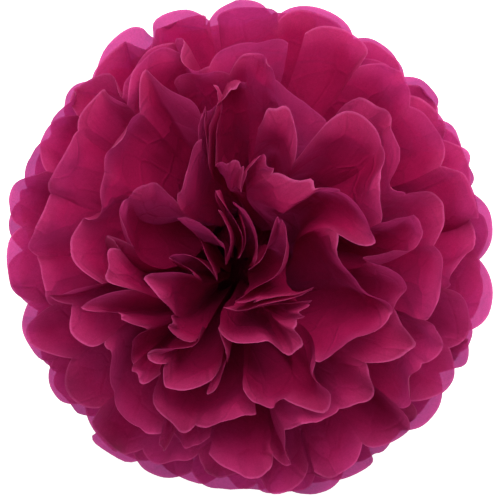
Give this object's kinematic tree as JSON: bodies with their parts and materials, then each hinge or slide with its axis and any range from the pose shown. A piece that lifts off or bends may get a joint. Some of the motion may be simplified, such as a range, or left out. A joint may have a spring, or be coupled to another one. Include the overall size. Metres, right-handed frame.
{
  "type": "tissue paper pom pom",
  "caption": "Ball of pleated tissue sheets tied round the middle with a wire and pulled apart, with rounded petal ends, for hanging as a decoration.",
  "frame": {"origin": "the middle of the tie, where the wire holds all the sheets, which is the middle of the ball", "axes": "+Z the way the upper sheets were pulled, out of the flower's heart; X along the pleated strip; Y across it, with the twisted wire ends towards -Y"},
  "size_m": [0.252, 0.2583, 0.2559],
  "materials": {
    "tissue": "matt, thin and translucent",
    "wire_cover": "matt paper wound on wire"
  },
  "bodies": {
    "root": {"upper_sheet_1": "tissue", "upper_sheet_2": "tissue", "upper_sheet_3": "tissue", "upper_sheet_4": "tissue", "upper_sheet_5": "tissue", "upper_sheet_6": "tissue", "lower_sheet_1": "tissue", "lower_sheet_2": "tissue", "lower_sheet_3": "tissue", "lower_sheet_4": "tissue", "lower_sheet_5": "tissue", "lower_sheet_6": "tissue", "tie_wire": "wire_cover"}
  },
  "joints": []
}
